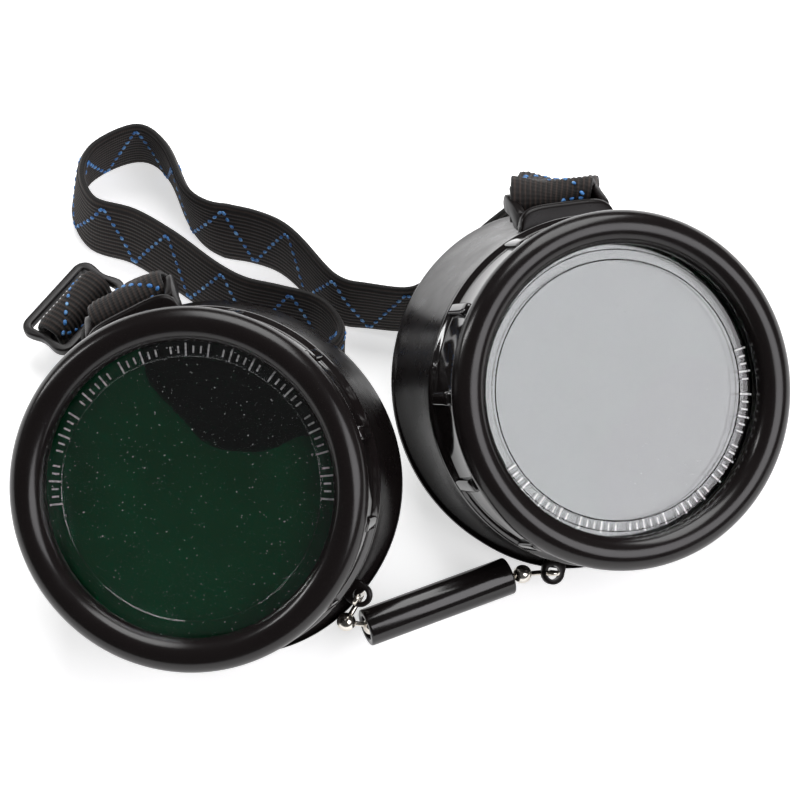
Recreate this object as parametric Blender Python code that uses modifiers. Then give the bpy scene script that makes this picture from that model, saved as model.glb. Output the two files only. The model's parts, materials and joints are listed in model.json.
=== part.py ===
"""Welding goggles: two round screw-ring eyecups, a sleeved chain bridge and an elastic head strap.

The goggles lie open on a surface at z = 0, lenses up, each eyecup resting on its cheek side.
The origin is under the middle of the bounding box. Metres, +Z up, +Y away from the wearer's chin.

Each eyecup is drawn in its lens frame: +Z out of the lens, z = 0 at the front of the retaining
ring. An angle phi runs round the cup from the nose lug at 0, over the brow, to the temple.
"""
import math

import bmesh
import bpy
from mathutils import Matrix, Vector

MM = 0.001
SEGMENTS = 48
GAP = 0.3 * MM                      # clearance between neighbouring pieces

# Lens pack: two standard 50 mm round plates and the rings between them
LENS_RADIUS = 25.0 * MM
COVER_TOP, COVER_BOTTOM = -4.5 * MM, -5.7 * MM
SPACER_TOP, SPACER_BOTTOM = -6.0 * MM, -6.5 * MM
FILTER_TOP, FILTER_BOTTOM = -6.8 * MM, -9.4 * MM
GASKET_TOP, GASKET_BOTTOM = -9.7 * MM, -10.2 * MM
GASKET_BORE = 23.0 * MM

# Retaining ring
LIP_RADIUS = 25.3 * MM              # centre of the rounded front lip
LIP_ROUND = 2.65 * MM
POCKET_RADIUS = LENS_RADIUS + GAP
LEDGE_Z = -4.2 * MM
SKIRT_RADIUS = 26.9 * MM
SKIRT_END = -14.2 * MM
FLARE_RADIUS = 27.75 * MM
BORE_RADIUS = 26.1 * MM
BORE_TOP = -10.1 * MM
GRIP_COUNT = 12
GRIP_WIDTH = 2.2 * MM
GRIP_TOP, GRIP_BOTTOM = -5.6 * MM, -13.4 * MM

# Eyecup
BARREL_TOP = -10.5 * MM
BARREL_RADIUS = 25.2 * MM
BARREL_BORE = 22.9 * MM
THREAD_CREST = 25.8 * MM
THREAD_PITCH = 2.0 * MM
SHOULDER_Z = -14.6 * MM
SHOULDER_RADIUS = 27.3 * MM
WALL = 1.8 * MM
WALL_START = SHOULDER_Z - WALL
RIM_DEPTH = 30.0 * MM               # of the slanted face rim on the lens axis
RIM_SLANT = math.radians(20.0)
RIM_SHALLOWEST = math.radians(-32.0)  # phi at which the rim is nearest the lens
RIM_TURN = math.radians(8.0)
EDGE = 0.5 * MM                     # chamfer of the face rim

# Strap lug: a guard arch in front and a bar behind it, joined by two cheeks
STRAP_WIDTH = 13.0 * MM
STRAP_THICK = 1.5 * MM
LUG_HALF = 8.0 * MM
LUG_BAR_R, LUG_BAR_Z = 31.2 * MM, -23.2 * MM
LUG_BAR_RADIUS = 1.2 * MM
LUG_TOP = -16.8 * MM
CHEEK = 1.1 * MM

# Nose lug: a flat ear with a hole
EAR_R, EAR_Z = 29.4 * MM, -17.2 * MM
EAR_RADIUS = 1.9 * MM
EAR_HOLE = 1.1 * MM
EAR_THICK = 1.2 * MM

# Where each cup lies: lens-frame origin on the table plan, lean of the lens axis from vertical,
# compass direction of that lean, roll about the lens axis, and which way phi turns.
CUPS = {
    "left": {"at": (-32.35 * MM, -29.8 * MM), "lean": 34.0, "toward": -108.0, "roll": -44.4,
             "turn": 1, "lug": 158.0, "ear": 6.0},
    "right": {"at": (35.65 * MM, -11.7 * MM), "lean": 34.5, "toward": -57.0, "roll": -112.4,
              "turn": -1, "lug": 145.0, "ear": -15.0},
}

# Nose bridge
SLEEVE_ENDS = (Vector((-5.05, -40.5, 8.5)) * MM, Vector((17.5, -30.6, 7.2)) * MM)
SLEEVE_RADIUS = 3.0 * MM
SLEEVE_BORE = 1.85 * MM
BEAD_RADIUS = 1.5 * MM
BEAD_COUNT = 7
CHAIN_WIRE = 0.4 * MM
LEFT_BEAD = Vector((-8.0, -40.2, 10.0)) * MM
RIGHT_BEAD = Vector((19.6, -30.3, 7.0)) * MM
LINK_WIRE = 0.45 * MM
LINK_HEAD = 2.2 * MM                # how far a link stands out in front of its lug
LINK_REACH = 1.9 * MM               # and how far behind it the wire bends

# Head strap, on edge on the table: the centre line's plan, chosen by hand
STRAP_ROUTE = [
    (18.6, 35.0), (14.1, 30.8), (9.1, 25.2), (5.1, 20.8), (1.5, 18.8), (-5.2, 19.5), (-8.9, 20.2),
    (-11.9, 22.4), (-16.6, 28.3), (-20.0, 31.3), (-24.3, 33.1), (-28.5, 34.1), (-32.0, 35.6),
    (-35.0, 39.1), (-38.3, 47.3), (-42.3, 51.4), (-46.9, 50.8), (-52.0, 47.0), (-53.4, 41.2),
    (-50.7, 35.6), (-43.9, 33.1), (-37.3, 28.6), (-30.4, 23.0), (-25.3, 20.1), (-19.8, 18.8),
    (-13.5, 17.0), (-10.1, 13.6), (-9.5, 10.2), (-12.5, 7.6), (-19.6, 8.6), (-27.4, 11.4),
    (-31.4, 12.6),
]
ROUTE_STEPS = 2                     # smooth points between two neighbouring route points

# Strap slider, a three-bar adjuster
SLIDER_AT = Vector((-53.2, 19.3, 6.0)) * MM
SLIDER_LONG = Vector((0.59, 0.807, 0.0))
SLIDER_TILT = math.radians(8.0)
SLIDER_HALF_LONG, SLIDER_HALF_SHORT = 8.4 * MM, 5.2 * MM
SLIDER_BAR = 1.5 * MM
SLIDER_THICK = 1.6 * MM
SLIDER_CORNER = 2.2 * MM

RUBBER_BLACK = (0.012, 0.010, 0.010, 1.0)


def clear_scene():
    for old in list(bpy.data.objects):
        bpy.data.objects.remove(old, do_unlink=True)


def new_collection(name):
    collection = bpy.data.collections.new(name)
    bpy.context.scene.collection.children.link(collection)
    return collection


def material(name, colour, roughness, metallic=0.0, transmission=0.0):
    made = bpy.data.materials.new(name)
    made.use_nodes = True
    shader = made.node_tree.nodes["Principled BSDF"]
    shader.inputs["Base Color"].default_value = colour
    shader.inputs["Roughness"].default_value = roughness
    shader.inputs["Metallic"].default_value = metallic
    shader.inputs["Transmission Weight"].default_value = transmission
    made.diffuse_color = colour
    return made


def add_object(name, data, parent=None, look=None, collection=None):
    made = bpy.data.objects.new(name, data)
    (collection or PARTS).objects.link(made)
    made.parent = parent
    if look is not None:
        data.materials.clear()
        data.materials.append(look)
    return made


def finish_mesh(obj):
    """Shade a round piece smooth and keep its real edges sharp."""
    obj.data.shade_smooth()
    obj.data.set_sharp_from_angle(angle=math.radians(35.0))
    return obj


def mesh_from(build, name="mesh"):
    """A mesh built by a function that fills a bmesh."""
    bm = bmesh.new()
    build(bm)
    bmesh.ops.recalc_face_normals(bm, faces=bm.faces)
    mesh = bpy.data.meshes.new(name)
    bm.to_mesh(mesh)
    bm.free()
    return mesh


def turned(name, profile, parent, look, closed=True):
    """A profile of (radius, z) points turned about the lens axis."""
    mesh = bpy.data.meshes.new(name)
    points = [(radius, 0.0, z) for radius, z in profile]
    edges = [(i, i + 1) for i in range(len(points) - 1)]
    if closed:
        edges.append((len(points) - 1, 0))
    mesh.from_pydata(points, edges, [])
    obj = add_object(name, mesh, parent, look)
    screw = obj.modifiers.new("Turn", "SCREW")
    screw.steps = SEGMENTS
    screw.render_steps = SEGMENTS
    screw.use_merge_vertices = True
    screw.merge_threshold = 0.00002
    screw.use_smooth_shade = True
    return obj


def disc(name, radius, top, bottom, parent, look):
    profile = [(0.0, top), (radius, top), (radius, bottom), (0.0, bottom)]
    return turned(name, profile, parent, look, closed=False)


def washer(name, inner, outer, top, bottom, parent, look):
    profile = [(inner, top), (outer, top), (outer, bottom), (inner, bottom)]
    return turned(name, profile, parent, look)


def evaluated_mesh(obj, name):
    """The object's evaluated shape as a welded mesh."""
    bpy.context.view_layer.update()
    graph = bpy.context.evaluated_depsgraph_get()
    mesh = bpy.data.meshes.new_from_object(obj.evaluated_get(graph))
    bm = bmesh.new()
    bm.from_mesh(mesh)
    bmesh.ops.remove_doubles(bm, verts=bm.verts, dist=0.00001)
    bm.to_mesh(mesh)
    bm.free()
    mesh.name = name
    return mesh


def curve_solid(name, curve, parent, look, matrix=Matrix(), collection=None):
    """Turn a curve into a closed mesh object, and remove the curve."""
    guide = add_object(name + "_curve", curve, parent)
    guide.matrix_local = matrix
    mesh = evaluated_mesh(guide, name)
    bpy.data.objects.remove(guide, do_unlink=True)
    obj = add_object(name, mesh, parent, look, collection)
    obj.matrix_local = matrix
    return obj


def wire(name, points, radius, look, parent=None, resolution=2):
    """A round wire or tube along a list of points."""
    curve = bpy.data.curves.new(name, "CURVE")
    curve.dimensions = "3D"
    curve.bevel_depth = radius
    curve.bevel_resolution = resolution
    curve.use_fill_caps = True
    spline = curve.splines.new("POLY")
    spline.points.add(len(points) - 1)
    for point, where in zip(spline.points, points):
        point.co = (*where, 1.0)
    return curve_solid(name, curve, parent, look)


def flat_outline(name, outlines, half_thickness, parent, matrix, look=None, collection=None):
    """A plate: closed outlines of (x, y) points, the later ones holes, extruded both ways."""
    curve = bpy.data.curves.new(name, "CURVE")
    curve.dimensions = "2D"
    curve.fill_mode = "BOTH"
    curve.extrude = half_thickness
    for outline in outlines:
        spline = curve.splines.new("POLY")
        spline.points.add(len(outline) - 1)
        spline.use_cyclic_u = True
        for point, (x, y) in zip(spline.points, outline):
            point.co = (x, y, 0.0, 1.0)
    return curve_solid(name, curve, parent, look, matrix, collection)


def boolean(obj, tool, operation):
    modifier = obj.modifiers.new(operation.title(), "BOOLEAN")
    modifier.operation = operation
    modifier.solver = "EXACT"
    modifier.object = tool
    tool.hide_render = True
    tool.display_type = "WIRE"


def smooth_route(points, steps):
    """Catmull-Rom points through a list of vectors, with extra points between each pair."""
    out = []
    last = len(points) - 1
    for i in range(last):
        before, start = points[max(i - 1, 0)], points[i]
        end, after = points[i + 1], points[min(i + 2, last)]
        for k in range(steps):
            t = k / steps
            out.append(0.5 * (2 * start + (end - before) * t
                              + (2 * before - 5 * start + 4 * end - after) * t ** 2
                              + (3 * start - before - 3 * end + after) * t ** 3))
    out.append(points[last].copy())
    return out


def tangents(points):
    last = len(points) - 1
    return [(points[min(i + 1, last)] - points[max(i - 1, 0)]).normalized() for i in range(last + 1)]


def band(name, centres, widths, look, parent=None, width=STRAP_WIDTH, thick=STRAP_THICK):
    """A flat strap: one rectangle across the strap at each centre, lofted into a solid."""
    along = tangents(centres)

    def build(bm):
        rows = []
        for centre, forward, across in zip(centres, along, widths):
            side = (across - forward * across.dot(forward)).normalized()
            face = forward.cross(side)
            corners = ((1, 1), (-1, 1), (-1, -1), (1, -1))
            rows.append([bm.verts.new(centre + side * (a * width / 2) + face * (b * thick / 2))
                         for a, b in corners])
        for first, second in zip(rows, rows[1:]):
            for k in range(4):
                bm.faces.new((first[k], first[(k + 1) % 4], second[(k + 1) % 4], second[k]))
        bm.faces.new(rows[0])
        bm.faces.new(reversed(rows[-1]))

    return add_object(name, mesh_from(build, name), parent, look)


# ---- Lens frames ----

def direction(cup, phi_degrees):
    """Lens-frame unit vector at an angle phi."""
    theta = math.radians(cup["turn"] * phi_degrees)
    return Vector((math.cos(theta), math.sin(theta), 0.0))


def rim_radius(phi):
    bend = phi - RIM_TURN
    temple = max(0.0, -math.cos(bend))
    brow = max(0.0, math.sin(bend))
    return (27.6 + 2.0 * math.cos(2 * bend) + 0.2 * temple ** 2 + 1.2 * brow) * MM


def rim_z(phi, radius):
    """Height of the slanted rim plane at a radius."""
    return -(RIM_DEPTH - math.tan(RIM_SLANT) * radius * math.cos(phi - RIM_SHALLOWEST))


def cup_rotation(cup):
    toward = math.radians(cup["toward"])
    tilt_axis = Vector((-math.sin(toward), math.cos(toward), 0.0))
    lean = Matrix.Rotation(math.radians(cup["lean"]), 4, tilt_axis)
    return lean @ Matrix.Rotation(math.radians(cup["roll"]), 4, "Z")


def cup_matrix(cup):
    """Lens frame in the world, lifted so that the lowest point of the rim is on the table."""
    turn = cup_rotation(cup)
    lowest = 0.0
    for i in range(SEGMENTS):
        phi = 2 * math.pi * i / SEGMENTS
        radius = rim_radius(phi) - EDGE
        point = direction(cup, math.degrees(phi)) * radius + Vector((0, 0, rim_z(phi, radius)))
        lowest = min(lowest, (turn @ point).z)
    return Matrix.Translation((*cup["at"], -lowest)) @ turn


def local_matrix(cup, phi_degrees, radius, z):
    """A frame in the lens frame with X pointing out from the lens axis."""
    outward = direction(cup, phi_degrees)
    turn = Matrix.Rotation(math.atan2(outward.y, outward.x), 4, "Z")
    return Matrix.Translation(outward * radius + Vector((0, 0, z))) @ turn


# ---- Eye pieces ----

def retaining_ring(side, frame):
    lip = [(LIP_RADIUS + LIP_ROUND * math.sin(a), -LIP_ROUND + LIP_ROUND * math.cos(a))
           for a in (math.radians(d) for d in (-90, -60, -30, 0, 30, 60, 90, 120))]
    profile = lip + [
        (SKIRT_RADIUS, -5.0 * MM), (SKIRT_RADIUS, -12.6 * MM), (FLARE_RADIUS, -13.8 * MM),
        (FLARE_RADIUS, SKIRT_END), (BORE_RADIUS, SKIRT_END), (BORE_RADIUS, BORE_TOP),
        (POCKET_RADIUS, BORE_TOP), (POCKET_RADIUS, LEDGE_Z), (22.9 * MM, LEDGE_Z)]
    ring = turned(side + "_retaining_ring", profile, frame, PLASTIC)

    def build(bm):
        middle = (GRIP_TOP + GRIP_BOTTOM) / 2
        for i in range(GRIP_COUNT):
            spin = Matrix.Rotation(2 * math.pi * i / GRIP_COUNT, 4, "Z")
            place = spin @ Matrix.Translation((26.95 * MM, 0.0, middle))
            size = Matrix.Diagonal((1.6 * MM, GRIP_WIDTH, GRIP_TOP - GRIP_BOTTOM, 1.0))
            bmesh.ops.create_cube(bm, size=1.0, matrix=place @ size)

    grips = add_object(side + "_grips", mesh_from(build), frame, collection=CUTTERS)
    boolean(ring, grips, "UNION")
    return ring


def eyecup_stations():
    """Closed outline of the cup wall, as functions of phi that give (radius, z)."""
    def fixed(radius, z):
        return lambda phi: (radius, z)

    def wall(t, inset):
        def station(phi):
            rim = rim_radius(phi)
            radius = SHOULDER_RADIUS + (rim - SHOULDER_RADIUS) * t ** 1.6 - inset
            end = rim_z(phi, rim - inset)
            return radius, WALL_START + (end - WALL_START) * t
        return station

    def rim(inset, lift):
        def station(phi):
            radius = rim_radius(phi) - inset
            return radius, rim_z(phi, radius) + lift
        return station

    stations = [fixed(BARREL_RADIUS, BARREL_TOP)]
    for k in range(2):
        z = BARREL_TOP - 0.6 * MM - k * THREAD_PITCH * 0.8
        stations += [fixed(BARREL_RADIUS, z), fixed(THREAD_CREST, z - 0.3 * MM),
                     fixed(THREAD_CREST, z - 0.6 * MM), fixed(BARREL_RADIUS, z - 0.9 * MM)]
    stations += [fixed(BARREL_RADIUS, SHOULDER_Z), fixed(SHOULDER_RADIUS, SHOULDER_Z)]
    stations += [wall(t, 0.0) for t in (0.0, 0.3, 0.6, 0.85)]
    stations += [rim(0.0, EDGE), rim(EDGE, 0.0), rim(WALL - EDGE, 0.0), rim(WALL, EDGE)]
    stations += [wall(t, WALL) for t in (0.85, 0.6, 0.3, 0.0)]
    stations += [fixed(BARREL_BORE, WALL_START), fixed(BARREL_BORE, BARREL_TOP)]
    return stations


def strap_lug(side, cup, frame):
    """Tools to be joined to the cup: guard arch, two cheeks and the bar the strap goes round."""
    place = local_matrix(cup, cup["lug"], 0.0, 0.0)
    root = 26.4 * MM
    arch_top = 31.0 * MM
    arch_end = 28.2 * MM
    half = LUG_HALF
    spread = math.asin(half / root)
    outer = [(arch_end + (arch_top - arch_end) * math.sqrt(max(0.0, math.cos(math.pi / 2 * k / 4))),
              half * k / 4) for k in range(-4, 5)]
    inner = [(root * math.cos(spread * k / 3), root * math.sin(spread * k / 3))
             for k in range(3, -4, -1)]
    arch = outer + inner
    slot = [(28.5 * MM, -5.6 * MM), (28.5 * MM, 5.6 * MM), (29.6 * MM, 5.6 * MM), (29.6 * MM, -5.6 * MM)]
    plate_half = 0.9 * MM
    plate = flat_outline(side + "_lug_arch", [arch, slot], plate_half, frame,
                         place @ Matrix.Translation((0, 0, LUG_TOP - plate_half)), collection=CUTTERS)

    cheek_root = 25.5 * MM
    cheek_end = LUG_BAR_Z - LUG_BAR_RADIUS
    cheek_outer = LUG_BAR_R + LUG_BAR_RADIUS
    cheek_y = half - CHEEK / 2 - 0.15 * MM

    def build_cheek(bm):
        low = Vector((cheek_root, 0, cheek_end))
        high = Vector((cheek_outer, 0, LUG_TOP - plate_half))
        size = Matrix.Diagonal((high.x - low.x, CHEEK, high.z - low.z, 1.0))
        bmesh.ops.create_cube(bm, size=1.0, matrix=Matrix.Translation((low + high) / 2) @ size)

    tools = [plate]
    for sign, word in ((1, "a"), (-1, "b")):
        cheek = add_object(f"{side}_lug_cheek_{word}", mesh_from(build_cheek), frame, collection=CUTTERS)
        cheek.matrix_local = place @ Matrix.Translation((0, sign * cheek_y, 0))
        tools.append(cheek)

    def build_bar(bm):
        bmesh.ops.create_cone(bm, cap_ends=True, segments=12, radius1=LUG_BAR_RADIUS,
                              radius2=LUG_BAR_RADIUS, depth=2 * cheek_y)

    bar = add_object(side + "_lug_bar", mesh_from(build_bar), frame, collection=CUTTERS)
    bar.matrix_local = (place @ Matrix.Translation((LUG_BAR_R, 0, LUG_BAR_Z))
                        @ Matrix.Rotation(math.pi / 2, 4, "X"))
    tools.append(bar)
    return tools


def nose_lug(side, cup, frame):
    """The flat ear at the nose, rounded about its hole."""
    place = local_matrix(cup, cup["ear"], 0.0, EAR_Z)
    tip = [(EAR_R + EAR_RADIUS * math.cos(a), EAR_RADIUS * math.sin(a))
           for a in (math.radians(d) for d in range(-90, 91, 20))]
    hole = [(EAR_R + EAR_HOLE * math.cos(a), EAR_HOLE * math.sin(a))
            for a in (math.radians(d) for d in range(0, 360, 30))]
    root = 26.2 * MM
    outline = [(root, -EAR_RADIUS)] + tip + [(root, EAR_RADIUS)]
    return flat_outline(side + "_ear", [outline, hole], EAR_THICK / 2, frame, place, collection=CUTTERS)


def eyecup(side, cup, frame):
    stations = eyecup_stations()

    def build(bm):
        rows = []
        for i in range(SEGMENTS):
            phi = 2 * math.pi * i / SEGMENTS
            outward = direction(cup, math.degrees(phi))
            row = []
            for station in stations:
                radius, z = station(phi)
                row.append(bm.verts.new(outward * radius + Vector((0, 0, z))))
            rows.append(row)
        count = len(stations)
        for i, row in enumerate(rows):
            after = rows[(i + 1) % SEGMENTS]
            for k in range(count):
                bm.faces.new((row[k], row[(k + 1) % count], after[(k + 1) % count], after[k]))

    body = add_object(side + "_eyecup", mesh_from(build, side + "_eyecup"), frame, PLASTIC)
    for tool in strap_lug(side, cup, frame) + [nose_lug(side, cup, frame)]:
        boolean(body, tool, "UNION")
    return finish_mesh(body)


def eye(side):
    """Everything of one eye, in its lens frame."""
    cup = CUPS[side]
    world = cup_matrix(cup)
    pivot = world @ (direction(cup, cup["ear"]) * EAR_R + Vector((0, 0, EAR_Z)))
    swivel = add_object(side + "_swivel", None)
    swivel.location = (pivot.x, pivot.y, 0.0)
    frame = add_object(side + "_lens_frame", None, swivel)
    frame.matrix_local = Matrix.Translation(-swivel.location) @ world
    bpy.context.view_layer.update()
    retaining_ring(side, frame)
    disc(side + "_cover_lens", LENS_RADIUS, COVER_TOP, COVER_BOTTOM, frame, CLEAR_GLASS)
    washer(side + "_spacer_ring", 23.2 * MM, LENS_RADIUS, SPACER_TOP, SPACER_BOTTOM, frame, FIBRE)
    disc(side + "_filter_lens", LENS_RADIUS, FILTER_TOP, FILTER_BOTTOM, frame, GREEN_GLASS)
    washer(side + "_seat_gasket", GASKET_BORE, LENS_RADIUS, GASKET_TOP, GASKET_BOTTOM, frame, FIBRE)
    eyecup(side, cup, frame)
    return world


# ---- Nose bridge ----

def nose_sleeve():
    """A vinyl tube with an open bore."""
    start, end = SLEEVE_ENDS
    length = (end - start).length
    half = length / 2
    sleeve = turned("nose_sleeve", [(SLEEVE_RADIUS, half), (SLEEVE_RADIUS, -half),
                                    (SLEEVE_BORE, -half), (SLEEVE_BORE, half)], None, VINYL)
    sleeve.modifiers["Turn"].steps = 24
    sleeve.modifiers["Turn"].render_steps = 24
    sleeve.matrix_world = (Matrix.Translation((start + end) / 2)
                           @ (end - start).to_track_quat("Z", "Y").to_matrix().to_4x4())
    return sleeve


def bead_chain():
    """Balls on one wire through the sleeve, with one ball outside at each end."""
    start, end = SLEEVE_ENDS
    inset = 1.2 * MM
    step = (end - start).normalized()
    first, last = start + step * inset, end - step * inset
    inside = [first.lerp(last, i / (BEAD_COUNT - 1)) for i in range(BEAD_COUNT)]
    centres = [LEFT_BEAD] + inside + [RIGHT_BEAD]

    def build(bm):
        for centre in centres:
            bmesh.ops.create_uvsphere(bm, u_segments=12, v_segments=8, radius=BEAD_RADIUS,
                                      matrix=Matrix.Translation(centre))

    core = wire("bead_chain", centres, CHAIN_WIRE, NICKEL)
    balls = add_object("chain_balls", mesh_from(build), collection=CUTTERS)
    boolean(core, balls, "UNION")
    return core


def chain_link(side, world, bead):
    """A wire through the hole of the nose lug, bent behind it towards the chain's outer ball."""
    cup = CUPS[side]
    hole = world @ (direction(cup, cup["ear"]) * EAR_R + Vector((0, 0, EAR_Z)))
    axis = (world.to_3x3() @ Vector((0, 0, 1))).normalized()
    behind = hole - axis * LINK_REACH
    clear = BEAD_RADIUS + LINK_WIRE + GAP
    end = bead + (behind - bead).normalized() * clear
    points = [hole + axis * LINK_HEAD, hole, behind, end]
    return wire(side + "_chain_link", points, LINK_WIRE, NICKEL)


# ---- Head strap ----

def head_strap():
    route = smooth_route([Vector((x, y, 0.0)) * MM for x, y in STRAP_ROUTE], ROUTE_STEPS)
    centres = [point + Vector((0, 0, STRAP_WIDTH / 2)) for point in route]
    return band("head_strap", centres, [Vector((0, 0, 1))] * len(centres), ELASTIC)


def doubled(path, widths, bar_radius, arc_points=7):
    """A strap folded round a bar at path[0]: out along one face of the path and back by the other."""
    offset = (STRAP_THICK + GAP) / 2
    around = bar_radius + GAP + STRAP_THICK / 2
    along = tangents(path)
    faces = [forward.cross((w - forward * w.dot(forward)).normalized()) for forward, w in zip(along, widths)]
    upper = [p + f * offset for p, f in zip(path, faces)][1:]
    lower = [p - f * offset for p, f in zip(path, faces)][1:]
    arc = []
    for k in range(arc_points):
        angle = math.pi * k / (arc_points - 1)
        arc.append(path[0] + faces[0] * (around * math.cos(angle)) - along[0] * (around * math.sin(angle)))
    centres = list(reversed(upper)) + arc + lower
    across = list(reversed(widths[1:])) + [widths[0]] * arc_points + list(widths[1:])
    return centres, across


def lug_bar(side, world):
    """Middle of the strap bar, the bar's direction and the way out from the lens axis."""
    cup = CUPS[side]
    outward = direction(cup, cup["lug"])
    centre = world @ (outward * LUG_BAR_R + Vector((0, 0, LUG_BAR_Z)))
    turn = world.to_3x3()
    return centre, turn @ Vector((-outward.y, outward.x, 0)), turn @ outward


def away_and_down(across, outward):
    """The two directions square to a lug's bar: outward from the cup, and down towards the table."""
    down = Vector((0, 0, -1)) + across * across.z
    down.normalize()
    away = across.cross(down)
    if away.dot(outward) < 0:
        away = -away
    return away, down


def right_strap_loop(world):
    """The sewn end: from the right lug outward over the face rim, to just above the strap's end."""
    bar, across, outward = lug_bar("right", world)
    away, down = away_and_down(across, outward)
    drops = ((4.2, 4.0), (7.6, 8.5), (9.3, 13.4))
    knees = [bar + (away * out + down * fall) * MM for out, fall in drops]
    path = [bar] + smooth_route(knees, 2)
    centres, widths = doubled(path, [across] * len(path), LUG_BAR_RADIUS)
    return band("right_strap_loop", centres, widths, ELASTIC)


def slider_matrix():
    long_axis = SLIDER_LONG.normalized()
    flat = long_axis.cross(Vector((0, 0, 1)))
    short_axis = flat * math.cos(SLIDER_TILT) + Vector((0, 0, math.sin(SLIDER_TILT)))
    up = short_axis.cross(long_axis)
    if up.z < 0:
        up = -up
    turn = Matrix((short_axis, long_axis, up)).transposed()
    return Matrix.Translation(SLIDER_AT) @ turn.to_4x4()


def left_strap_loop(world, slider):
    """Both layers from under the slider's near bar, turning up outside the face rim to the left lug."""
    bar, across, outward = lug_bar("left", world)
    away, down = away_and_down(across, outward)
    slider_across = slider.to_3x3() @ Vector((0, 1, 0))
    if across.dot(slider_across) < 0:
        across = -across
    bend = 2.5 * MM
    turn = [slider @ Vector((5.8 * MM + bend * math.sin(a), 0.0, -0.35 * MM - bend * math.cos(a)))
            for a in (math.radians(d) for d in (90, 60, 30, 0))]
    knees = [bar + (away * 2.6 + down * 5.0) * MM, Vector((-44.6, 13.4, 17.0)) * MM,
             Vector((-46.5, 15.0, 12.0)) * MM]
    path = [bar] + smooth_route(knees, 2) + turn
    last = len(path) - 1
    widths = [across.lerp(slider_across, min(1.0, max(0.0, (i - 1) / (last - 4)))).normalized()
              for i in range(last + 1)]
    centres, sides = doubled(path, widths, LUG_BAR_RADIUS)
    return band("left_strap_loop", centres, sides, ELASTIC)


def slider_strap_loop(slider):
    """The strap over the slider's middle bar and out under its near bar, in two layers."""
    profile = [(5.0, -1.95), (4.2, -1.95), (3.3, -1.85), (2.45, -1.3), (2.2, -0.3), (2.1, 0.7),
               (1.6, 1.6), (0.7, 2.0), (-0.7, 2.0), (-1.6, 1.5), (-2.1, 0.5), (-2.1, -0.6),
               (-1.6, -1.7), (-0.6, -2.4), (0.8, -3.0), (2.6, -3.65), (5.0, -3.75)]
    centres = [slider @ (Vector((u, 0.0, h)) * MM) for u, h in profile]
    across = slider.to_3x3() @ Vector((0, 1, 0))
    return band("slider_strap_loop", centres, [across] * len(centres), ELASTIC, width=STRAP_WIDTH - GAP)


def rounded_rectangle(half_x, half_y, corner, waist=0.0):
    """Outline of (x, y) points with round corners, its short sides drawn in at the middle."""
    points = []
    for quarter, (sx, sy) in enumerate(((1, 1), (-1, 1), (-1, -1), (1, -1))):
        for k in range(4):
            angle = math.pi / 2 * (quarter + k / 3)
            points.append((sx * (half_x - corner) + corner * math.cos(angle),
                           sy * (half_y - corner) + corner * math.sin(angle)))
        if quarter in (0, 2):
            points.append((0.0, sy * (half_y - waist)))
    return points


def strap_slider(slider):
    window_half_y = SLIDER_HALF_LONG - SLIDER_BAR
    inner, outer = SLIDER_BAR / 2, SLIDER_HALF_SHORT - SLIDER_BAR
    windows = [[(sign * x, y) for x, y in ((inner, -window_half_y), (outer, -window_half_y),
                                           (outer, window_half_y), (inner, window_half_y))]
               for sign in (1, -1)]
    outline = rounded_rectangle(SLIDER_HALF_SHORT, SLIDER_HALF_LONG, SLIDER_CORNER, 0.5 * MM)
    made = flat_outline("strap_slider", [outline] + windows, SLIDER_THICK / 2, None, slider, PLASTIC)
    return made


clear_scene()
PARTS = new_collection("welding_goggles")
CUTTERS = new_collection("cutters")
CUTTERS.hide_render = True
PLASTIC = material("black_plastic", RUBBER_BLACK, 0.28)
VINYL = material("black_vinyl", (0.010, 0.009, 0.009, 1.0), 0.35)
CLEAR_GLASS = material("clear_glass", (0.85, 0.87, 0.88, 1.0), 0.03, transmission=1.0)
GREEN_GLASS = material("green_glass", (0.004, 0.030, 0.014, 1.0), 0.03)
FIBRE = material("grey_fibre", (0.20, 0.19, 0.18, 1.0), 0.8)
ELASTIC = material("black_elastic", (0.022, 0.016, 0.015, 1.0), 0.85)
NICKEL = material("nickel", (0.62, 0.59, 0.55, 1.0), 0.25, metallic=1.0)

LEFT_WORLD = eye("left")
RIGHT_WORLD = eye("right")
nose_sleeve()
bead_chain()
chain_link("left", LEFT_WORLD, LEFT_BEAD)
chain_link("right", RIGHT_WORLD, RIGHT_BEAD)
head_strap()
right_strap_loop(RIGHT_WORLD)
SLIDER_WORLD = slider_matrix()
left_strap_loop(LEFT_WORLD, SLIDER_WORLD)
slider_strap_loop(SLIDER_WORLD)
strap_slider(SLIDER_WORLD)
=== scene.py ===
"""Looks of the welding goggles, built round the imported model. Metres, the model's own frame."""
import json
import math
import random

import bmesh
import bpy
from mathutils import Matrix, Vector


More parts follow.
